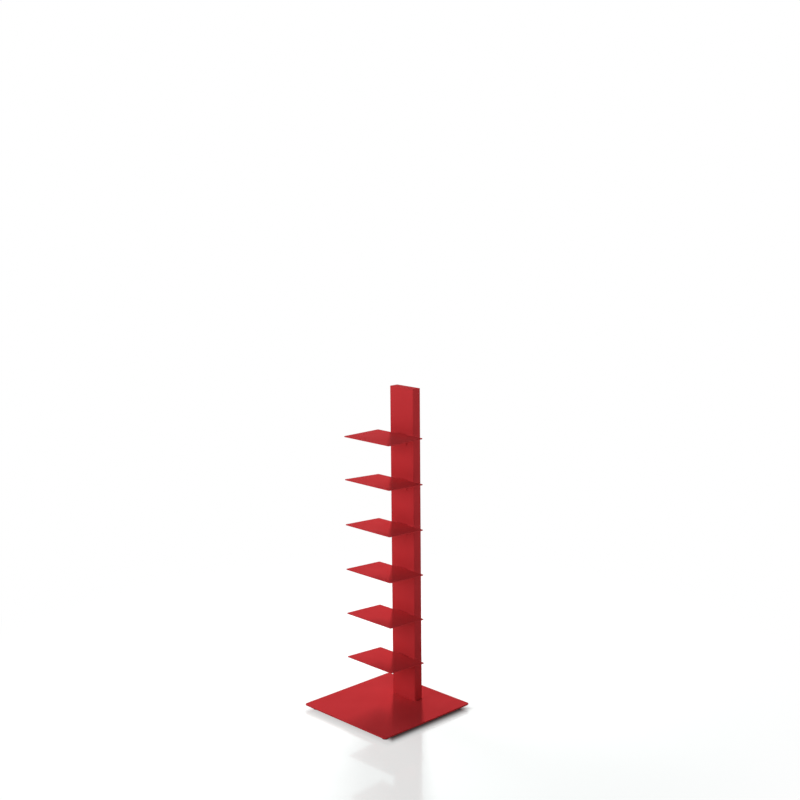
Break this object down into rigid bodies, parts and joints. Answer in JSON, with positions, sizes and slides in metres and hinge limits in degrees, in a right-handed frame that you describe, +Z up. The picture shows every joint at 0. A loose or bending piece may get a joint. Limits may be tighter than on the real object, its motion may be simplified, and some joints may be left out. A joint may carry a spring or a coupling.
{
  "type": "spine bookshelf",
  "caption": "Free-standing spine bookshelf: a slim box column on a square base plate, with bent sheet shelves hung on its front to hold flat stacks of books.",
  "frame": {"origin": "bottom centre of the square footprint, on the floor", "axes": "+Z up along the column; +X along the column's wide face; the shelves project towards -Y, so +Y is the back"},
  "size_m": [0.345, 0.345, 0.956],
  "materials": {
    "red_powder_coat": "satin powder coat",
    "red_screw_paint": "satin paint",
    "zinc_plated_steel": "bright zinc plate",
    "plain_steel": "machined steel",
    "black_plastic": "moulded matt plastic"
  },
  "bodies": {
    "frame": {"base_plate": "red_powder_coat", "foot_bosses": "red_powder_coat", "column_tube": "red_powder_coat", "column_top_cap": "red_powder_coat", "column_foot_block": "plain_steel", "column_bolts": "zinc_plated_steel", "column_washers": "zinc_plated_steel", "shelf_1": "red_powder_coat", "shelf_2": "red_powder_coat", "shelf_3": "red_powder_coat", "shelf_4": "red_powder_coat", "shelf_5": "red_powder_coat", "shelf_6": "red_powder_coat", "shelf_screws": "red_screw_paint", "rivet_nuts": "zinc_plated_steel"},
    "foot_pad_front_left_body": {"foot_pad_front_left": "black_plastic"},
    "foot_stem_front_left_body": {"foot_stem_front_left": "zinc_plated_steel"},
    "foot_pad_back_left_body": {"foot_pad_back_left": "black_plastic"},
    "foot_stem_back_left_body": {"foot_stem_back_left": "zinc_plated_steel"},
    "foot_pad_front_right_body": {"foot_pad_front_right": "black_plastic"},
    "foot_stem_front_right_body": {"foot_stem_front_right": "zinc_plated_steel"},
    "foot_pad_back_right_body": {"foot_pad_back_right": "black_plastic"},
    "foot_stem_back_right_body": {"foot_stem_back_right": "zinc_plated_steel"}
  },
  "joints": [
    {"name": "foot_drop_front_left", "type": "slide", "parent": "frame", "child": "foot_pad_front_left_body", "axis": [0, 0, -1], "range_m": [0, 0.0025]},
    {"name": "foot_turn_front_left", "type": "hinge", "parent": "foot_pad_front_left_body", "child": "foot_stem_front_left_body", "pos_m": [-0.147, -0.147, 0.005], "axis": [0, 0, -1], "range_deg": [0, 720]},
    {"name": "foot_drop_back_left", "type": "slide", "parent": "frame", "child": "foot_pad_back_left_body", "axis": [0, 0, -1], "range_m": [0, 0.0025]},
    {"name": "foot_turn_back_left", "type": "hinge", "parent": "foot_pad_back_left_body", "child": "foot_stem_back_left_body", "pos_m": [-0.147, 0.147, 0.005], "axis": [0, 0, -1], "range_deg": [0, 720]},
    {"name": "foot_drop_front_right", "type": "slide", "parent": "frame", "child": "foot_pad_front_right_body", "axis": [0, 0, -1], "range_m": [0, 0.0025]},
    {"name": "foot_turn_front_right", "type": "hinge", "parent": "foot_pad_front_right_body", "child": "foot_stem_front_right_body", "pos_m": [0.147, -0.147, 0.005], "axis": [0, 0, -1], "range_deg": [0, 720]},
    {"name": "foot_drop_back_right", "type": "slide", "parent": "frame", "child": "foot_pad_back_right_body", "axis": [0, 0, -1], "range_m": [0, 0.0025]},
    {"name": "foot_turn_back_right", "type": "hinge", "parent": "foot_pad_back_right_body", "child": "foot_stem_back_right_body", "pos_m": [0.147, 0.147, 0.005], "axis": [0, 0, -1], "range_deg": [0, 720]}
  ],
  "couplings": [
    {"joint": "foot_drop_front_left", "follows": "foot_turn_front_left", "m_per_rad": 0.00019894},
    {"joint": "foot_drop_back_left", "follows": "foot_turn_back_left", "m_per_rad": 0.00019894},
    {"joint": "foot_drop_front_right", "follows": "foot_turn_front_right", "m_per_rad": 0.00019894},
    {"joint": "foot_drop_back_right", "follows": "foot_turn_back_right", "m_per_rad": 0.00019894}
  ]
}
